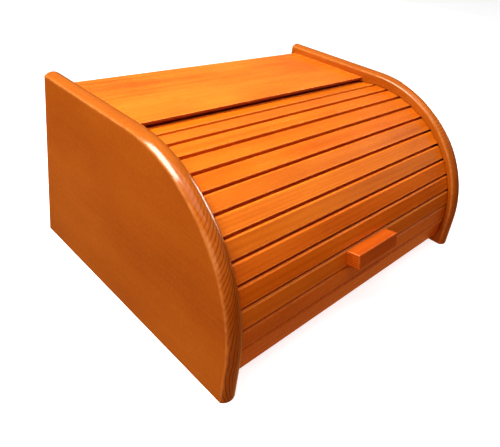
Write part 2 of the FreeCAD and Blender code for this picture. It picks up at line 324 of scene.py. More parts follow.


# %% [markdown]
# ## Stained and lacquered wood
#
# The maker wipes an orange-brown stain on pale beech or alder, then sprays a satin lacquer. The
# stain goes in unevenly, so the colour drifts in soft clouds; the pores take more of it and stay
# dark; and along the edges the sanding rubs some of it off again. That lighter band along the
# edges also carries a painted highlight, for the light that the rounded edges catch.
#
# Several patterns are summed into one tone. Rings are the distance from a distant heart of the
# tree, bent by slow noise. Rays are thin sheets that point at that heart, short along the grain:
# on a face they show as flecks, and on an end as fine lines across the rings. Pores and streaks
# are noise drawn out along the grain, clouds are broad noise and the mottle is fine noise. One
# ramp turns the tone into colour. The lacquer is the shader's own gloss, with a faint ripple in
# its bump, because a sprayed film is never flat.
#
# Cut ends drink more stain than faces do, and most of all between the rings. So the surface's own
# direction is compared with the grain, and where the two agree, the rings turn into dark lines. The
# same kind of test can paint one side of a piece darker, as painted shade on a side the light
# doesn't reach.

# %% Wood finish
RING_WIDTH = 2.6 * MM
RING_WANDER = 9 * MM
PORE_SIZE = 0.7 * MM
RAY_HEIGHT = 1.6 * MM
RAY_THICKNESS = 0.45 * MM
RAY_DEPTH = 9 * MM
CLOUD_SIZE = 55 * MM
MOTTLE_SIZE = 3 * MM
RIPPLE_SIZE = 3.5 * MM
BUMP_HEIGHT = 0.12 * MM
BUMP_STRENGTH = 0.35
# The lighter band along the edges is partly stain rubbed off and partly a painted highlight.
WEAR_AND_SHEEN_WIDTH = 2.4 * MM
WEAR_AND_SHEEN_PATCH = 6 * MM
WEAR_AND_SHEEN_COVER = 0.30
LACQUER_IOR = 1.48
LACQUER_TINT = (1.0, 0.93, 0.88, 1)

# Patches of noise per metre, along the grain and across it.
RING_BENDS = (1.6, 18)
PORES = (45, 1 / PORE_SIZE)
STREAKS = (7, 230)
CLOUDS = (9, 1 / CLOUD_SIZE)

# The part of a noise that counts, from where a ray or a pore begins to where it is full.
RAY_RANGE = (0.60, 0.74)
PORE_RANGE = (0.56, 0.76)

# How far each pattern moves the tone (0 is deep, 0.5 middle, 1 pale), the roughness and the height.
PLAIN_TONE = 0.60
# The last tone entry paints one side of a piece darker: painted shade, not a mark in the wood.
TONE = {"cloud": 0.60, "mottle": 0.30, "streak": 0.34, "ring": 0.12, "ray": 0.10, "pore": 0.16,
        "end": 0.75, "painted_shade": 0.75}
DULL = {"cloud": 0.10, "pore": 0.10, "wear_and_sheen": 0.06}
RELIEF = {"ripple": 0.35, "pore": 0.28, "ring": 0.07, "ray": 0.05}


def drawn_out(start, place, rates, shift, detail=2.0):
    """Noise that is drawn out along the grain."""
    along, across = rates
    drawn = place.vector("MULTIPLY_ADD", place, (along, across, across), shift)
    return start.noise(drawn, 1.0, detail)


def growth(start, place, heart, shift):
    """Rings and rays around a heart given as (across, up) from the piece's middle."""
    slow = drawn_out(start, place, RING_BENDS, shift)
    along, across, up = place.vector("SUBTRACT", place, (0, *heart)).parts()
    radius = (across * across + up * up) ** 0.5 + (slow - 0.5) * RING_WANDER
    phase = radius * (math.tau / RING_WIDTH)
    ring = (start.sum("SINE", phase) + 1) * 0.5
    around = start.sum("ARCTAN2", across, up) * (math.hypot(*heart) / RAY_THICKNESS)
    sockets = {0: along / RAY_HEIGHT, 1: around, 2: radius / RAY_DEPTH}
    sheet = start.node("ShaderNodeCombineXYZ", sockets)
    return ring, start.noise(sheet, 1.0, 1.0).step(*RAY_RANGE)


def facing(start, direction):
    """How much the surface faces a direction, from 1 through 0 to -1 where it faces away."""
    normal = start.node("ShaderNodeTexCoord", {}, output="Normal")
    return normal.vector("DOT_PRODUCT", normal, tuple(direction), output=1)


def end_grain(start, turn):
    """Goes from 0 on the faces along the grain to 1 on the ends, which cut across it."""
    grain = Euler(turn).to_matrix() @ Vector((1, 0, 0))
    return abs(facing(start, grain)).step(0.30, 0.80)


def stained_wood(name, centre, turn, heart, tones, seed, edges=None, gloss=0.24, glued=None,
                 figure=1.0, shaded_side=None):
    """Stained, lacquered wood. tones are its deep, middle and pale colours and its edge colour,
    which is rubbed stain with a painted highlight.

    edges gives the distance to the lighter edges, glued the staves of a glued-up board, figure how
    strong the grain is, and the last argument the direction of a side that is painted darker, as
    painted shade.
    """
    material, start = new_material(name)
    place = on_piece(start, centre, turn)
    draw = random.Random(seed)
    shift = tuple(draw.uniform(-9, 9) for _ in range(3))
    deep, middle, pale, rubbed_and_lit = tones
    ring, ray = growth(start, place, heart, shift)
    pore = drawn_out(start, place, PORES, shift).step(*PORE_RANGE)
    streak = drawn_out(start, place, STREAKS, shift, 3.0)
    cloud = drawn_out(start, place, CLOUDS, shift, 3.0)
    mottle = start.noise(place, 1 / MOTTLE_SIZE, 3.0)
    grain = (streak - 0.5) * TONE["streak"] - ring * ring * TONE["ring"]
    grain = grain - ray * TONE["ray"] - pore * TONE["pore"]
    tone = PLAIN_TONE + (cloud - 0.5) * TONE["cloud"] + (mottle - 0.5) * TONE["mottle"]
    tone = tone + grain * figure
    tone = tone - end_grain(start, turn) * (ring ** 4) * cloud * TONE["end"]
    if glued:
        tone = tone + staves(start, place, glued, shift)
    # A side that faces the given direction is painted darker: painted shade.
    if shaded_side:
        tone = tone - facing(start, shaded_side).step(0.5, 0.9) * TONE["painted_shade"]
    stops = [(0.0, deep), (0.5, middle), (1.0, pale)]
    colour = start.node("ShaderNodeValToRGB", {0: tone}, stops=stops)
    rough = gloss + (cloud - 0.5) * DULL["cloud"] + pore * DULL["pore"]
    # Lighter edges: rubbed stain, and a painted highlight for the light that the rounded edges
    # catch.
    if edges:
        patchy = start.noise(place, 1 / WEAR_AND_SHEEN_PATCH, 3.0).step(0.25, 0.75, 0.4, 1.0)
        wear_and_sheen = abs(edges(start, place)).step(0.0, WEAR_AND_SHEEN_WIDTH, 1.0, 0.0) * patchy
        colour = start.colours(wear_and_sheen * WEAR_AND_SHEEN_COVER, colour, rubbed_and_lit)
        rough = rough + wear_and_sheen * DULL["wear_and_sheen"]
    height = start.noise(place, 1 / RIPPLE_SIZE, 1.0) * RELIEF["ripple"]
    height = height - pore * RELIEF["pore"] - ring * RELIEF["ring"] - ray * RELIEF["ray"]
    close_material(start, (height, BUMP_HEIGHT, BUMP_STRENGTH), Base_Color=colour, Roughness=rough,
                   IOR=LACQUER_IOR, Specular_IOR_Level=0.5, Specular_Tint=LACQUER_TINT)
    return material


def staves(start, place, glued, shift):
    """A small change of tone from stave to stave, in a board glued up from narrow staves."""
    width, length, strength = glued
    along, across, up = place.parts()
    row = start.sum("FLOOR", across / width + shift[0])
    lot = start.node("ShaderNodeTexWhiteNoise", {"W": row}, noise_dimensions="1D")
    piece = start.sum("FLOOR", along / length + lot * 5)
    lot = start.node("ShaderNodeTexWhiteNoise", {"W": piece * 7.3 + row}, noise_dimensions="1D")
    return (lot - 0.5) * strength


# Deep, middle, pale and edge colours, for the boards, the slats, the panels and the handle; the
# edge colour is rubbed stain with a painted highlight.
BOARD_STAIN = ((0.26, 0.020, 0.002), (0.78, 0.150, 0.009), (0.92, 0.26, 0.025), (0.96, 0.42, 0.11))
SLAT_STAIN = ((0.34, 0.055, 0.002), (0.60, 0.130, 0.005), (0.76, 0.21, 0.014), (0.90, 0.36, 0.09))
PANEL_STAIN = ((0.14, 0.022, 0.002), (0.35, 0.078, 0.005), (0.50, 0.14, 0.012), (0.80, 0.34, 0.11))
HANDLE_STAIN = ((0.18, 0.028, 0.002), (0.44, 0.074, 0.004), (0.60, 0.13, 0.012), (0.68, 0.19, 0.04))
print("wood finish is ready")

# %% [markdown]
# ## From a bmesh to a finished piece
#
# Every piece is worked in a bmesh, in its final place, and then handed over here. Doubles are
# merged before the normals are turned outwards. Faces that meet at a shallow angle are shaded as
# one curve, and a Weighted Normal modifier lets the big flat faces keep their flat shading while
# the narrow rounds along their edges take up the change. Last, the piece rides on its body, hides
# the plain node that it stands for, and takes on its finish.

# %% Hand over a piece
SMOOTH_LIMIT = math.radians(32)
SMALL_EASE = 0.4 * MM


def add_object(name, data):
    """Adds an object to the scene, at the origin and unturned."""
    thing = bpy.data.objects.new(name, data)
    bpy.context.scene.collection.objects.link(thing)
    return thing


def to_mesh(bm, name):
    """Merges doubles, turns the faces outwards, and hands a bmesh over as a mesh."""
    bmesh.ops.remove_doubles(bm, verts=bm.verts, dist=TINY / 10)
    bmesh.ops.recalc_face_normals(bm, faces=bm.faces)
    mesh = bpy.data.meshes.new(name)
    bm.to_mesh(mesh)
    bm.free()
    return mesh


def finish_piece(mesh, stands_for, body, material, name=None, wall=0.0):
    """Makes the object of a piece from its mesh and ties it to the frame. A sheet gets a wall."""
    name = name or f"{stands_for}_shaped"
    mesh.shade_smooth()
    mesh.set_sharp_from_angle(angle=SMOOTH_LIMIT)
    mesh.materials.clear()
    mesh.materials.append(material)
    piece = add_object(name, mesh)
    if wall:
        thicken = piece.modifiers.new("wall", "SOLIDIFY")
        thicken.thickness = wall
        thicken.offset = 0
    shading = piece.modifiers.new("flat faces stay flat", "WEIGHTED_NORMAL")
    shading.keep_sharp = True
    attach(piece, body)
    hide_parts(stands_for)
    mesh.calc_loop_triangles()
    print(name, "has", len(mesh.loop_triangles), "triangles")
    return piece


def carve(mesh, cutter_mesh):
    """Cuts one mesh out of another with a Boolean modifier and returns the result."""
    work = add_object("work", mesh)
    cutter = add_object("cutter", cutter_mesh)
    cut = work.modifiers.new("cut", "BOOLEAN")
    cut.operation = "DIFFERENCE"
    cut.solver = "EXACT"
    cut.object = cutter
    graph = bpy.context.evaluated_depsgraph_get()
    carved = bpy.data.meshes.new_from_object(work.evaluated_get(graph))
    for thing in (work, cutter):
        bpy.data.objects.remove(thing)
    carved.name = mesh.name
    return carved


# %% [markdown]
# ## Boxes with eased edges, and round holes
#
# Most of the wood is flat stock. A cube is stretched between two corners, and the edges that the
# maker sands are picked by where they lie and bevelled. A profile of 0.5 makes the bevel a true
# quarter round. Holes are cylinders gathered in one bmesh and cut out together.


# %% Flat stock and holes
def add_block(bm, low, high):
    """Adds a box between two corners to a bmesh."""
    size = Vector(high) - Vector(low)
    middle = (Vector(high) + Vector(low)) / 2
    place = Matrix.Translation(middle) @ Matrix.Diagonal((*size, 1))
    bmesh.ops.create_cube(bm, size=1.0, matrix=place)


def stock(low, high):
    """A new bmesh with one box in it."""
    bm = bmesh.new()
    add_block(bm, low, high)
    return bm


def ease(bm, picked, width, segments=3):
    """Rounds the picked edges over."""
    bmesh.ops.bevel(bm, geom=picked, offset=width, offset_type="OFFSET", segments=segments,
                    profile=0.5, affect="EDGES", material=-1)


def edges_where(bm, test):
    """Edges whose two ends both pass a test."""
    return [edge for edge in bm.edges if all(test(vertex.co) for vertex in edge.verts)]


HOLE_SIDES = 32
HOLE_SPARE = 1 * MM
GLUE_GAP = 0.05 * MM


def add_pin_hole(bm, corners, axis):
    """Adds the hole for a dowel whose box and whose axis (0, 1 or 2) are given."""
    radius = pin_radius(corners, axis) + GLUE_GAP
    start = middle_of(corners)
    end = start.copy()
    start[axis] = corners[0][axis] - HOLE_SPARE
    end[axis] = corners[1][axis] + HOLE_SPARE
    along = end - start
    turn = Vector((0, 0, 1)).rotation_difference(along).to_matrix().to_4x4()
    bmesh.ops.create_cone(bm, cap_ends=True, segments=HOLE_SIDES, radius1=radius, radius2=radius,
                          depth=along.length, matrix=Matrix.Translation((start + end) / 2) @ turn)


def pin_holes(*groups):
    """One mesh with the holes for groups of dowels, each given with its dowels' axis."""
    bm = bmesh.new()
    for pins, axis in groups:
        for pin in pins:
            add_pin_hole(bm, pin, axis)
    return to_mesh(bm, "cutters")


print("tools for flat stock are ready")

# %% [markdown]
# ## Turned parts
#
# Screws and dowels are round, so they are made as on a lathe: half of the outline is drawn beside
# the axis and spun once round it. A screw's thread is a small triangle that is spun many times
# while it moves along the shank. The hole for a screw is the same kind of shape, a hair wider.

# %% Lathe, thread and screw holes
SHANK_RADIUS = 1.72 * MM
ROOT_RADIUS = 1.20 * MM
HEAD_RADIUS = 3.5 * MM
THREAD_PITCH = 1.6 * MM
THREAD_FOOT = 0.2 * MM
THREAD_HALF_WIDTH = 0.32 * MM
THREAD_STEPS = 18
HANDLE_SCREW_LENGTH = 18 * MM
BACK_SCREW_LENGTH = 30 * MM
TIP_LENGTH = 3 * MM
TO_HEAD = Matrix.Rotation(-QUARTER, 4, "X")


def lathe(bm, stations, place, steps=32):
    """Spins an outline of (radius, height) pairs about Z and carries the shape to its place."""
    line = [bm.verts.new((radius, 0, height)) for radius, height in stations]
    edges = [bm.edges.new(pair) for pair in zip(line, line[1:])]
    known = set(bm.verts) - set(line)
    bmesh.ops.spin(bm, geom=line + edges, cent=(0, 0, 0), axis=(0, 0, 1), dvec=(0, 0, 0),
                   angle=math.tau, steps=steps, use_merge=True)
    made = [vertex for vertex in bm.verts if vertex not in known]
    bmesh.ops.transform(bm, matrix=place, verts=made)
    bmesh.ops.remove_doubles(bm, verts=made, dist=TINY / 10)


def add_thread(bm, low, high):
    """Winds a ridge round the shank of a screw that stands on the Z axis."""
    foot = ROOT_RADIUS - THREAD_FOOT
    corners = ((foot, -THREAD_HALF_WIDTH), (SHANK_RADIUS, 0), (foot, THREAD_HALF_WIDTH))
    rim = [bm.verts.new((radius, 0, low + height)) for radius, height in corners]
    loop = [bm.edges.new((rim[i - 1], rim[i])) for i in range(3)]
    turns = (high - low) / THREAD_PITCH
    steps = round(turns * THREAD_STEPS)
    rise = (0, 0, (high - low) / steps)
    bmesh.ops.spin(bm, geom=loop, cent=(0, 0, 0), axis=(0, 0, 1), dvec=rise,
                   angle=turns * math.tau, steps=steps)
    bmesh.ops.holes_fill(bm, edges=[edge for edge in bm.edges if edge.is_boundary])


def cut_screw_holes(mesh, places, length, countersunk):
    """Cuts the holes for screws, each given by the matrix that carries the screw to its place."""
    holes = bmesh.new()
    shank = SHANK_RADIUS + GLUE_GAP
    mouth = HEAD_RADIUS + GLUE_GAP if countersunk else shank
    outline = [(0, HOLE_SPARE), (mouth, HOLE_SPARE), (mouth, 0), (shank, shank - mouth),
               (shank, -length - GLUE_GAP), (0, -length - GLUE_GAP)]
    if not countersunk:
        del outline[2:4]
    for place in places:
        lathe(holes, outline, place, 24)
    return carve(mesh, to_mesh(holes, "cutters"))


base_middle = (base_low.z + base_high.z) / 2
back_screw_places = [
    Matrix.Translation((middle_of(screw).x, back_high.y, base_middle)) @ TO_HEAD
    for screw in back_screws
]
print("back screws at x =", [round(place.translation.x, 3) for place in back_screw_places])

# %% [markdown]
# ## Side panels
#
# A side panel is a 17 mm board. Its top and front edge is one long rounded crown: straight along
# the top, a quarter turn round the curtain, and straight down to the table. A moulding cutter
# follows that edge with one profile, and the mesh is made in the same way. One vertex is spun into
# the profile of the crown, and the profile is then carried up the front, spun a quarter turn and
# carried back. Two more corners close the board, and every flat side is filled as one face.
#
# The grooves are a rectangle spun about the curtain's axis, cut out with the rest of the joinery.

# %% Build the right side panel, then its mirror image
CROWN_STEPS = 14
CURVE_STEPS = 44
PANEL_EASE = 0.5 * MM
GROOVE_STEPS = 80
GROOVE_OVERSHOOT = 2 * MM


def only(kind, parts):
    """The vertices, or the edges, among the parts that an operator returns."""
    return [part for part in parts if isinstance(part, kind)]


def sweep(bm, profile, offset):
    """Extrudes the edges of a profile by an offset and returns the new edges."""
    made = bmesh.ops.extrude_edge_only(bm, edges=profile)["geom"]
    bmesh.ops.translate(bm, verts=only(BMVert, made), vec=offset)
    return only(BMEdge, made)


def panel_blank():
    """The right side panel before it is grooved."""
    bm = bmesh.new()
    half = (outer_face - inner_face) / 2
    bow = (half ** 2 + CROWN_RISE ** 2) / (2 * CROWN_RISE)
    bow_centre = Vector((inner_face + half, panel_front - CROWN_RISE + bow, 0))
    first = bm.verts.new((inner_face, panel_front, 0))
    bmesh.ops.spin(bm, geom=[first], cent=bow_centre, axis=(0, 0, 1), dvec=(0, 0, 0),
                   angle=2 * math.asin(half / bow), steps=CROWN_STEPS)
    profile = sweep(bm, list(bm.edges), (0, 0, arc_centre.z))
    turned = bmesh.ops.spin(bm, geom=profile, cent=arc_centre, axis=(1, 0, 0), dvec=(0, 0, 0),
                            angle=-QUARTER, steps=CURVE_STEPS)["geom_last"]
    sweep(bm, only(BMEdge, turned), (0, panel_back - arc_centre.y, 0))
    ends = [vertex for vertex in bm.verts
            if abs(vertex.co.y - panel_back) < TINY and abs(vertex.co.z - panel_top) < TINY]
    heels = bmesh.ops.extrude_vert_indiv(bm, verts=ends)["verts"]
    bmesh.ops.translate(bm, verts=heels, vec=(0, 0, -panel_top))
    toes = [vertex for vertex in bm.verts
            if abs(vertex.co.z) < TINY and abs(vertex.co.y - panel_front) < TINY]
    bm.edges.new(heels)
    for toe in toes:
        heel = min(heels, key=lambda vertex: abs(vertex.co.x - toe.co.x))
        bm.edges.new((toe, heel))
    for axis, level in ((0, inner_face), (0, outer_face), (1, panel_back), (2, 0.0)):
        rim = [edge for edge in bm.edges if edge.is_boundary or edge.is_wire]
        rim = [edge for edge in rim if all(abs(v.co[axis] - level) < TINY for v in edge.verts)]
        bmesh.ops.contextual_create(bm, geom=rim)
    bmesh.ops.recalc_face_normals(bm, faces=bm.faces)
    corners = [edge for edge in bm.edges if edge.calc_face_angle(0) > SMOOTH_LIMIT]
    ease(bm, corners, PANEL_EASE, 2)
    return bm


def panel_cutters():
    """Everything that is cut out of the right side panel: groove, housing and dowel holes."""
    bm = bmesh.new()
    low, high = groove_radii[0], groove_radii[-1]
    first, last = groove_angles[0], groove_angles[-1]
    reach = inner_face - GROOVE_OVERSHOOT
    corners = [(reach, low), (groove_floor, low), (groove_floor, high), (reach, high)]
    rim = [bm.verts.new(curtain_axis + outward(first) * radius + Vector((x, 0, 0)))
           for x, radius in corners]
    loop = [bm.edges.new((rim[i - 1], rim[i])) for i in range(4)]
    bmesh.ops.spin(bm, geom=loop, cent=curtain_axis, axis=(-1, 0, 0), dvec=(0, 0, 0),
                   angle=last - first, steps=GROOVE_STEPS)
    bmesh.ops.holes_fill(bm, edges=[edge for edge in bm.edges if edge.is_boundary])
    bmesh.ops.recalc_face_normals(bm, faces=bm.faces)
    add_block(bm, (reach, back_low.y, back_low.z), back_high)
    for pin in board_dowels + base_dowels:
        if pin[0].x > 0:
            add_pin_hole(bm, pin, 0)
    return bm


def crown_edges(start, place):
    """Distance to the line where the crown meets the flat of a side panel."""
    level = on_piece(start, arc_centre)
    _, across, up = level.parts()
    forward = start.sum("MAXIMUM", across * -1, 0.0)
    above = start.sum("MAXIMUM", up, 0.0)
    return (forward * forward + above * above) ** 0.5 - panel_radius


right_mesh = to_mesh(panel_blank(), "right_side_panel")
right_mesh = carve(right_mesh, to_mesh(panel_cutters(), "cutters"))
mirror = bmesh.new()
mirror.from_mesh(right_mesh)
bmesh.ops.scale(mirror, vec=(-1, 1, 1), verts=mirror.verts)
left_mesh = to_mesh(mirror, "left_side_panel")

PANEL_STAVES = (0.06, 2.0, 0.06)
sides = (("left", left_mesh, -1, 11, (-0.10, -0.056)), ("right", right_mesh, 1, 29, (-0.05, -0.07)))
for side, mesh, sign, seed, heart in sides:
    middle = (sign * (inner_face + outer_face) / 2, 0, panel_top / 2)
    wood = stained_wood(f"{side}_panel_stain", middle, (0, 0, QUARTER), heart, PANEL_STAIN, seed,
                        crown_edges, gloss=0.13, glued=PANEL_STAVES, figure=0.25)
    finish_piece(mesh, f"{side}_side_panel", "carcass", wood)

# %% [markdown]
# ## Top board
#
# The top board carries the roof of the box, and the curtain passes close under its front edge. So
# the board is hollowed there: in section, its underside is cut by a circle about the curtain's
# axis, which leaves a thin front edge. The section is drawn first, with the hollow as a vertex
# spun through the right angle, and then extruded along the box. Its top front edge gets the round
# that a hand would feel. Its faces that look to the front are painted much darker. This is painted
# shade on the thin front edge, where the light from above and from the table doesn't reach.

# %% Build the top board
BOARD_EASE = 0.6 * MM
HOLLOW_STEPS = 18

hollow_radius = min(radius_of(point) for point in points_of("top_board"))
front_angle = math.acos((curtain_axis.y - board_low.y) / hollow_radius)
under_angle = math.pi - math.asin((board_low.z - curtain_axis.z) / hollow_radius)


def board_blank():
    """The top board: its section, extruded from one side panel to the other."""
    bm = bmesh.new()
    start = curtain_axis + outward(front_angle) * hollow_radius
    first = bm.verts.new(start - Vector((inner_face, 0, 0)))
    last = bmesh.ops.spin(bm, geom=[first], cent=curtain_axis, axis=(-1, 0, 0), dvec=(0, 0, 0),
                          angle=under_angle - front_angle, steps=HOLLOW_STEPS)["geom_last"][0]
    low, high = board_low, board_high
    for y, z in ((high.y, low.z), (high.y, high.z), (low.y, high.z)):
        corner = bm.verts.new((-inner_face, y, z))
        bm.edges.new((last, corner))
        last = corner
    bm.edges.new((last, first))
    section = bmesh.ops.contextual_create(bm, geom=list(bm.edges))["faces"]
    made = bmesh.ops.extrude_face_region(bm, geom=section)["geom"]
    bmesh.ops.translate(bm, verts=only(BMVert, made), vec=(2 * inner_face, 0, 0))
    bmesh.ops.recalc_face_normals(bm, faces=bm.faces)
    corner = Vector((low.y, high.z))
    ease(bm, edges_where(bm, lambda co: (co.yz - corner).length < TINY), BOARD_EASE, 4)
    back = edges_where(bm, lambda co: abs(co.y - high.y) < TINY and co.z > low.z - TINY)
    back = [edge for edge in back if abs(edge.verts[0].co.x - edge.verts[1].co.x) > inner_face]
    ease(bm, back, SMALL_EASE, 2)
    return bm


def edges_of(low, high):
    """A function that gives the distance to the edges of a box between two corners."""
    half = (Vector(high) - Vector(low)) / 2
    return lambda start, place: box_edges(place, half)


def finish_board(mesh, name, box, heart, seed, glued, shaded_side=None):
    """Stains a board and hands it over. glued is its staves' width, length and change of tone."""
    wood = stained_wood(f"{name}_stain", middle_of(box), (0, 0, 0), heart, BOARD_STAIN, seed,
                        edges_of(*box), glued=glued, shaded_side=shaded_side)
    finish_piece(mesh, name, "carcass", wood)


mesh = to_mesh(board_blank(), "top_board")
mesh = carve(mesh, pin_holes((board_dowels, 0), (back_dowels, 2)))
# The top board's faces that look to the front are painted darker, as painted shade.
finish_board(mesh, "top_board", (board_low, board_high), (0.03, -0.09), 3, (0.047, 0.24, 0.16),
             shaded_side=(0, -1, 0))

# %% [markdown]
# ## Base board and back panel
#
# Both are plain boards between the side panels. The base board's front edge is rounded a little
# where a hand reaches in, and the back panel's two ends are let into the side panels. They take
# the same stain as the top board, each with its own part of the tree.

# %% Build the base board and the back panel
blank = stock(base_low, base_high)
corner = Vector((base_low.y, base_high.z))
ease(blank, edges_where(blank, lambda co: (co.yz - corner).length < TINY), BOARD_EASE)
mesh = carve(to_mesh(blank, "base_board"), pin_holes((base_dowels, 0)))
mesh = cut_screw_holes(mesh, back_screw_places, BACK_SCREW_LENGTH, True)
finish_board(mesh, "base_board", (base_low, base_high), (-0.04, -0.12), 5, (0.052, 0.26, 0.14))

blank = stock(back_low, back_high)
lower_edges = edges_where(blank, lambda co: co.z < back_low.z + TINY)
ease(blank, [edge for edge in lower_edges if edge.calc_length() > inner_face], SMALL_EASE, 2)
mesh = carve(to_mesh(blank, "back_panel"), pin_holes((back_dowels, 2)))
mesh = cut_screw_holes(mesh, back_screw_places, BACK_SCREW_LENGTH, True)
finish_board(mesh, "back_panel", (back_low, back_high), (0.11, 0.02), 8, (0.9, 0.33, 0.12))

# %% [markdown]
# ## Slats
#
# The curtain is fourteen thin slats, one wider than the rest at its lower end. Each is a strip
# with its upper outer edge chamfered, its lower one almost square and its inner ones just eased.
# A loop makes each strip at the origin, facing the front, and carries it to its place on the
# circle with one matrix. The finish is turned with the same angle, so that the grain and the
# lighter edges, rubbed stain with a painted highlight, follow the slat. Every slat was cut from
# its own part of a board: its heart, its tint and its gloss are drawn at random from a fixed seed.

# %% Build the slats
SLAT_UPPER_CHAMFER = 1.8 * MM
SLAT_LOWER_ROUND = 0.6 * MM
SLAT_BACK_EASE = 0.5 * MM
CHAMFER_EASE = 0.25 * MM
CANVAS_THICKNESS = 0.6 * MM
HANDLE_SLAT = "slat_02"
CURTAIN_SEED = 41
FIRST_SLAT_SEED = 100


def at_angle(angle, radius):
    """Matrix that carries a piece from the origin, facing the front, to the curtain's circle."""
    return (Matrix.Translation(curtain_axis) @ Matrix.Rotation(-angle, 4, "X")
            @ Matrix.Translation((0, -radius, 0)))


def slat_blank(slat):
    """One slat around the origin, its outer face at y = 0."""
    half = slat["width"] / 2
    reach = slat["half_length"]
    bm = stock((-reach, 0, -half), (reach, slat["thickness"], half))
    long_edges = [edge for edge in bm.edges if edge.calc_length() > reach]
    ease(bm, [edge for edge in long_edges if edge.verts[0].co.y > TINY], SLAT_BACK_EASE, 2)
    cuts = (
        (-half, SLAT_LOWER_ROUND, 4),
        (half, SLAT_UPPER_CHAMFER, 1),
        (half - SLAT_UPPER_CHAMFER, CHAMFER_EASE, 2),
    )
    for level, width, segments in cuts:
        corner = Vector((0, level))
        picked = edges_where(bm, lambda co: (co.yz - corner).length < TINY)
        ease(bm, picked, width, segments)
    return bm


def tinted(tones, warmth, light):
    """The same four stain colours, a little redder or yellower and a little lighter or darker."""
    return [(r * light, g * light * warmth, b * light * warmth) for r, g, b in tones]


holder = slats[HANDLE_SLAT]
handle_place = at_angle(holder["angle"], holder["radius"])
screw_depth = holder["thickness"] + CANVAS_THICKNESS
handle_screw_places = [
    handle_place @ Matrix.Translation((middle_of(screw).x, screw_depth, 0)) @ TO_HEAD
    for screw in handle_screws
]

draw = random.Random(CURTAIN_SEED)
for number, name in enumerate(slat_names):
    slat = slats[name]
    blank = slat_blank(slat)
    place = at_angle(slat["angle"], slat["radius"])
    bmesh.ops.transform(blank, matrix=place, verts=blank.verts)
    heart = (draw.uniform(0.03, 0.12), draw.uniform(-0.05, 0.05))
    tones = tinted(SLAT_STAIN, draw.uniform(0.93, 1.06), draw.uniform(0.93, 1.05))
    half_sizes = Vector((slat["half_length"], slat["thickness"] / 2, slat["width"] / 2))
    centre = place @ Vector((0, slat["thickness"] / 2, 0))
    wood = stained_wood(f"{name}_stain", centre, (-slat["angle"], 0, 0), heart, tones,
                        FIRST_SLAT_SEED + number, edges_of(-half_sizes, half_sizes),
                        gloss=draw.uniform(0.20, 0.26))
    mesh = to_mesh(blank, name)
    if name == HANDLE_SLAT:
        mesh = cut_screw_holes(mesh, handle_screw_places, HANDLE_SCREW_LENGTH, False)
    finish_piece(mesh, name, "roll_curtain", wood)

# %% [markdown]
# ## Pull handle
#
# The handle is a short block with its outer edges well rounded, glued and screwed to the second
# slat above the lead slat. Its end shows the rings of the wood lying almost level, so its heart
# is far below it.

# %% Build the pull handle
HANDLE_ROUND = 1.5 * MM

grip = measure_slat("pull_handle")
half = Vector((grip["half_length"], (grip["radius"] - holder["radius"]) / 2, grip["width"] / 2))
blank = stock((-half.x, -2 * half.y, -half.z), (half.x, 0, half.z))
outer = [edge for edge in blank.edges if min(vertex.co.y for vertex in edge.verts) < -TINY]
ease(blank, outer, HANDLE_ROUND, 5)
bmesh.ops.transform(blank, matrix=handle_place, verts=blank.verts)
mesh = to_mesh(blank, "pull_handle")
mesh = cut_screw_holes(mesh, handle_screw_places, HANDLE_SCREW_LENGTH, False)
wood = stained_wood("pull_handle_stain", handle_place @ Vector((0, -half.y, 0)),
                    (-holder["angle"], 0, 0), (0.01, -0.09), HANDLE_STAIN, 77,
                    edges_of(-half, half), gloss=0.2)
finish_piece(mesh, "pull_handle", "roll_curtain", wood)

# %% [markdown]
# ## Canvas
#
# What holds the slats together is a strip of cotton canvas, glued to their backs. It lies flat
# behind each slat and bends only in the gaps, so its section is a line with two corners for each
# slat, drawn vertex by vertex and then extruded along the box. Solidify gives it its thickness.
# The weave follows the cloth and not the room, so each point gets a place on the cloth, in metres,
# as its UV. Stain ran in between the slats before the lacquer, so the side that shows in the gaps
# is dark brown, and the inside of the box shows the bare cotton.

# %% Build the canvas
CANVAS_HEM = 2.5 * MM
GLUE_LINE = 0.05 * MM
CANVAS_COLUMNS = 40
THREAD = 0.9 * MM
WEAVE_DEPTH = 0.15 * MM
SLUBS = (60, 900, 900)
COTTON = ((0.30, 0.22, 0.13), (0.66, 0.55, 0.40))
SEEPED_STAIN = (0.95, 0.10, 0.004)

canvas_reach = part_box("canvas_backing")[1].x


def canvas_corners():
    """The corners of the canvas in section, at its left edge, from the lead slat upwards."""
    corners = []
    for name in slat_names:
        slat = slats[name]
        low = -slat["width"] / 2 + (CANVAS_HEM if name == slat_names[0] else 0)
        high = slat["width"] / 2 - (CANVAS_HEM if name == slat_names[-1] else 0)
        back = slat["thickness"] + CANVAS_THICKNESS / 2
        place = at_angle(slat["angle"], slat["radius"])
        corners += [place @ Vector((-canvas_reach, back, up)) for up in (low, high)]
    return corners


def canvas_strip(corners):
    """The canvas as one thin sheet, with its weave coordinates."""
    bm = bmesh.new()
    line = [bm.verts.new(corner) for corner in corners]
    profile = [bm.edges.new(pair) for pair in zip(line, line[1:])]
    for _ in range(CANVAS_COLUMNS):
        profile = sweep(bm, profile, (2 * canvas_reach / CANVAS_COLUMNS, 0, 0))
    lowest = angle_of(corners[0])
    weave = bm.loops.layers.uv.new("weave")
    for face in bm.faces:
        for loop in face.loops:
            co = loop.vert.co
            loop[weave].uv = (co.x + canvas_reach, (angle_of(co) - lowest) * radius_of(corners[0]))
    return bm


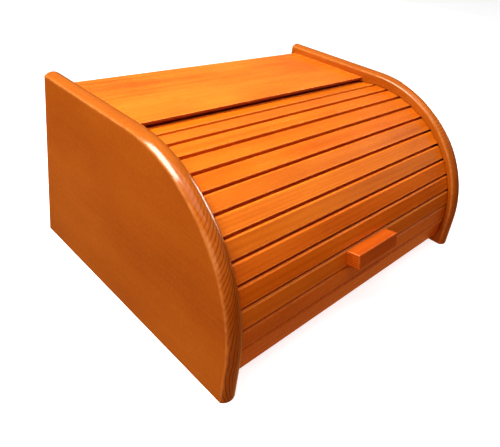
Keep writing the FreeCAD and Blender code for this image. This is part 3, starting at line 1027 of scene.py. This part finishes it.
def cotton_canvas(name):
    """Plain weave: where one thread dips, the one across it rises."""
    material, start = new_material(name)
    across, along, _ = start.node("ShaderNodeUVMap", {}, uv_map="weave").parts()
    warp = start.sum("SINE", across * (math.pi / THREAD))
    weft = start.sum("SINE", along * (math.pi / THREAD))
    over = (warp * weft).step(-0.15, 0.15)
    height = over * abs(warp) + (1 - over) * abs(weft)
    place = on_piece(start, curtain_axis)
    slub = start.noise(place.vector("MULTIPLY", place, SLUBS), 1.0)
    # The dips of the weave are painted darker, as painted shade; the slubs are the cotton's own
    # tone.
    cotton = start.colours(height * 0.7 + slub * 0.3, *COTTON)
    normal = start.node("ShaderNodeTexCoord", {}, output="Normal")
    spoke = place.vector("MULTIPLY", place, (0, 1, 1))
    outside = spoke.vector("DOT_PRODUCT", spoke, normal, output=1).step(-0.01, 0.01)
    colour = start.colours(outside * 0.95, cotton, SEEPED_STAIN)
    rough = 0.85 + slub * 0.1
    close_material(start, (height, WEAVE_DEPTH, 0.6), Base_Color=colour, Roughness=rough)
    return material


corners = canvas_corners()
canvas_length = sum((b - a).length for a, b in zip(corners, corners[1:]))
mesh = to_mesh(canvas_strip(corners), "canvas")
cotton = cotton_canvas("cotton_canvas")
canvas = finish_piece(mesh, "canvas_backing", "roll_curtain", cotton, name="canvas_shaped",
                      wall=CANVAS_THICKNESS - 2 * GLUE_LINE)
print("the canvas is", round(2 * canvas_reach / MM, 1), "by", round(canvas_length / MM, 1), "mm")

# %% [markdown]
# ## Screws
#
# Two pan-head screws hold the handle, put in from the inside through the canvas and the slat. Four
# countersunk ones hold the back panel to the base board. Each is turned, and then a cross is cut
# into its head by two bars that narrow downwards. The thread comes last: its foot runs inside the
# shank, and a Boolean can lose parts of a mesh that passes through itself. Bright zinc is thin and
# a little cloudy, so the metal's roughness drifts.

# %% Build the screws
RECESS = Vector((4.0, 0.9, 1.3)) * MM
RECESS_TAPER = (0.45, 0.8, 1)
PAN_HEIGHT = 2.2 * MM
PAN_HEAD = [(0.0, 2.2), (2.4, 2.2), (2.85, 2.12), (3.2, 1.88), (3.43, 1.5), (3.5, 1.1), (3.5, 0.0)]
FLAT_HEAD = [(0.0, 0.0), (3.5, 0.0), (3.5, -0.12)]
SMOOTH_SHARE = 0.3
SHANK_STEP = 0.5 * MM
THREAD_START = 0.6 * MM
HAZE_SIZE = 1.5 * MM
ZINC = ((0.62, 0.63, 0.65), (0.78, 0.78, 0.76))


def screw(head, neck, length, top, place):
    """One screw: head outline in mm, depth of the neck, length, and the height of the recess."""
    bm = bmesh.new()
    smooth_part = neck + length * SMOOTH_SHARE
    outline = [Vector(pair) * MM for pair in head]
    outline += [(SHANK_RADIUS, -neck), (SHANK_RADIUS, -smooth_part),
                (ROOT_RADIUS, -smooth_part - SHANK_STEP), (ROOT_RADIUS, -length + TIP_LENGTH),
                (0, -length)]
    lathe(bm, outline, Matrix.Identity(4))
    mesh = to_mesh(bm, "screw")
    into_head = Matrix.Translation((0, 0, top - RECESS.z / 2 + TINY))
    for turn in (0, QUARTER):
        bar = stock(-RECESS / 2, RECESS / 2)
        foot = [vertex for vertex in bar.verts if vertex.co.z < 0]
        bmesh.ops.scale(bar, vec=RECESS_TAPER, verts=foot)
        turned = into_head @ Matrix.Rotation(turn, 4, "Z")
        bmesh.ops.transform(bar, matrix=turned, verts=bar.verts)
        mesh = carve(mesh, to_mesh(bar, "bar"))
    bm = bmesh.new()
    bm.from_mesh(mesh)
    add_thread(bm, -length + TIP_LENGTH, -smooth_part - THREAD_START)
    bmesh.ops.transform(bm, matrix=place, verts=bm.verts)
    return to_mesh(bm, "screw")


def joined(meshes, name):
    """One mesh from several, for a group of like pieces."""
    bm = bmesh.new()
    for mesh in meshes:
        bm.from_mesh(mesh)
    return to_mesh(bm, name)


def zinc_steel(name):
    """Bright zinc plating with a thin haze."""
    material, start = new_material(name)
    haze = start.noise(on_piece(start, (0, 0, 0)), 1 / HAZE_SIZE, 3.0)
    close_material(start, (haze, 0.02 * MM, 0.3), Base_Color=start.colours(haze, *ZINC),
                   Roughness=0.24 + haze * 0.2, Metallic=1.0)
    return material


steel = zinc_steel("zinc_plated_steel")
pan = (PAN_HEAD, 0.0, HANDLE_SCREW_LENGTH, PAN_HEIGHT)
countersunk = (FLAT_HEAD, HEAD_RADIUS - SHANK_RADIUS, BACK_SCREW_LENGTH, 0.0)
sets = (("handle_screws", "roll_curtain", pan, handle_screw_places),
        ("back_panel_screws", "carcass", countersunk, back_screw_places))
for name, body, shape, places in sets:
    mesh = joined([screw(*shape, place) for place in places], name)
    finish_piece(mesh, name, body, steel)

# %% [markdown]
# ## Dowels
#
# The boards are held by beech dowels, hidden once the box is glued. They are fluted so that the
# glue can get out, and their ends are chamfered so that they find their holes. Every third column
# of the turned rod is pressed in a little, which makes twelve flutes.

# %% Build the dowels
FLUTES = 12
FLUTE_DEPTH = 0.22 * MM
BEECH = ((0.42, 0.24, 0.12), (0.66, 0.44, 0.26), (0.78, 0.58, 0.38), (0.80, 0.62, 0.44))


def dowel(corners, axis):
    """A fluted dowel along one axis of its box."""
    radius = pin_radius(corners, axis)
    length = corners[1][axis] - corners[0][axis]
    chamfer = radius / 5
    bm = bmesh.new()
    outline = [(0, 0), (radius - chamfer, 0), (radius, chamfer), (radius, length - chamfer),
               (radius - chamfer, length), (0, length)]
    lathe(bm, outline, Matrix.Identity(4), 3 * FLUTES)
    for vertex in bm.verts:
        column = round(math.atan2(vertex.co.y, vertex.co.x) / math.tau * 3 * FLUTES)
        if column % 3 == 0 and vertex.co.xy.length > radius - TINY:
            vertex.co.xy *= 1 - FLUTE_DEPTH / radius
    foot = middle_of(corners)
    foot[axis] = corners[0][axis]
    turn = Matrix.Rotation(QUARTER, 4, "Y") if axis == 0 else Matrix.Identity(4)
    bmesh.ops.transform(bm, matrix=Matrix.Translation(foot) @ turn, verts=bm.verts)
    return to_mesh(bm, "dowel")


groups = (("top_board_dowels", board_dowels, 0), ("base_board_dowels", base_dowels, 0),
          ("back_panel_dowels", back_dowels, 2))
for name, pins, axis in groups:
    turn = (0, 0, 0) if axis == 0 else (0, QUARTER, 0)
    beech = stained_wood(f"{name}_beech", middle_of(pins[0]), turn, (0.02, -0.05), BEECH, len(name),
                         gloss=0.6)
    mesh = joined([dowel(pin, axis) for pin in pins], name)
    finish_piece(mesh, name, "carcass", beech)

# %% [markdown]
# ## Studio
#
# A pale floor with a pale round wall far behind it, and five soft lamps: one high on the left, a
# broad one above, a weak warm one in front that reaches into the gaps between the slats, and two
# weak ones on the right. Floor and wall glow a little, so that they stay even and white, and they
# are kept out of the light that reaches the wood. The sky is dim. Its part below the horizon
# stands in for the warm light that a table and the wood itself send back up, with a dark ring
# where it meets the horizon.

# %% Floor, wall, lamps and sky
ROOM_RADIUS = 15.0
WALL_HEIGHT = 14.0
ROOM_SIDES = 96
PAPER = (0.45, 0.45, 0.45, 1)
PAPER_RELIEF = 0.05 * MM


def glowing_paper(name, fleck_rate, glow):
    """Matt paper that gives off a little light of its own."""
    material, start = new_material(name)
    fleck = start.noise(on_piece(start, (0, 0, 0)), fleck_rate)
    close_material(start, (fleck, PAPER_RELIEF, 0.2), Base_Color=PAPER, Roughness=0.9,
                   Emission_Color=(glow, glow, glow, 1), Emission_Strength=1.0)
    return material


ground = bmesh.new()
bmesh.ops.create_circle(ground, cap_ends=True, segments=ROOM_SIDES, radius=ROOM_RADIUS)
surround = bmesh.new()
bmesh.ops.create_cone(surround, cap_ends=False, segments=ROOM_SIDES, radius1=ROOM_RADIUS,
                      radius2=ROOM_RADIUS, depth=WALL_HEIGHT,
                      matrix=Matrix.Translation((0, 0, WALL_HEIGHT / 2)))
papers = (("studio_floor", ground, glowing_paper("white_paper", 400.0, 0.66)),
          ("studio_wall", surround, glowing_paper("backdrop_paper", 3.0, 0.93)))
for name, bm, paper in papers:
    stage = add_object(name, to_mesh(bm, name))
    stage.visible_diffuse = False
    stage.visible_glossy = False
    stage.visible_shadow = False
    stage.data.materials.append(paper)


def direction_to(turn, rise):
    """Direction to a place so far round the box from its front and so high, in degrees."""
    turn, rise = math.radians(turn), math.radians(rise)
    flat = math.cos(rise)
    return Vector((math.sin(turn) * flat, -math.cos(turn) * flat, math.sin(rise)))


def soft_lamp(name, turn, rise, distance, size, power, colour=(1, 1, 1)):
    """A square area lamp that looks at the box from a direction."""
    direction = direction_to(turn, rise)
    light = bpy.data.lights.new(name, "AREA")
    light.size = size
    light.energy = power
    light.color = colour
    lamp = add_object(name, light)
    lamp.location = direction * distance + Vector((0, 0, panel_top / 2))
    lamp.rotation_euler = direction.to_track_quat("Z", "Y").to_euler()


soft_lamp("key_lamp", -110, 57, 1.5, 0.8, 40, (0.88, 0.96, 1.0))
soft_lamp("top_light", -35, 74, 2.0, 1.6, 12)
soft_lamp("front_fill", -46, 22, 2.0, 0.8, 4.5, (1.0, 0.78, 0.55))
soft_lamp("right_fill", 66, 28, 2.6, 1.6, 3.0, (1.0, 0.80, 0.62))
soft_lamp("side_fill", 96, 8, 2.5, 0.9, 24)

# Shades of the sky from straight down (0) over the horizon (0.5) to straight up (1).
SKY_STRENGTH = 0.6
SKY = ((0.0, (1.0, 0.42, 0.13)), (0.27, (0.94, 0.39, 0.12)), (0.42, (0.03, 0.022, 0.016)),
       (0.72, (0.26, 0.26, 0.26)), (1.0, (0.50, 0.50, 0.50)))

world = bpy.data.worlds.new("studio_sky")
bpy.context.scene.world = world
world.use_nodes = True
world.node_tree.nodes.clear()
sky = Signal(world.node_tree)
height = sky.node("ShaderNodeTexCoord", {}, output="Generated").parts()[2] * 0.5 + 0.5
shade = sky.node("ShaderNodeValToRGB", {0: height}, stops=SKY)
glow = sky.node("ShaderNodeBackground", {"Color": shade, "Strength": SKY_STRENGTH})
sky.node("ShaderNodeOutputWorld", {"Surface": glow}, output=None)
bpy.context.scene.view_settings.view_transform = "Standard"
bpy.context.scene.view_settings.look = "Medium High Contrast"
print("the studio has", len(bpy.data.lights), "lamps")

# %% [markdown]
# The camera is described by how far round the box it stands, how high it looks from, how much it
# is tilted, and the point that it aims at. The lens shift keeps the whole box in view without
# turning the camera up or down.

# %% Camera
CAMERA_TURN = -47.996
CAMERA_RISE = 24.975
CAMERA_TILT = math.radians(8.275)
CAMERA_DISTANCE = 558.591 * MM
CAMERA_AIM = Vector((-43.423, 3.3, 124.763)) * MM
LENS = 37.163
SHIFT = (0.0012, -0.1439)

away = direction_to(CAMERA_TURN, CAMERA_RISE)
camera_data = bpy.data.cameras.new("camera")
camera_data.lens = LENS
camera_data.shift_x, camera_data.shift_y = SHIFT
camera = add_object("camera", camera_data)
camera.location = CAMERA_AIM + away * CAMERA_DISTANCE
level_turn = away.to_track_quat("Z", "Y")
camera.rotation_euler = (level_turn @ Euler((0, 0, CAMERA_TILT)).to_quaternion()).to_euler()
bpy.context.scene.camera = camera
print("camera at", [round(value, 3) for value in camera.location])
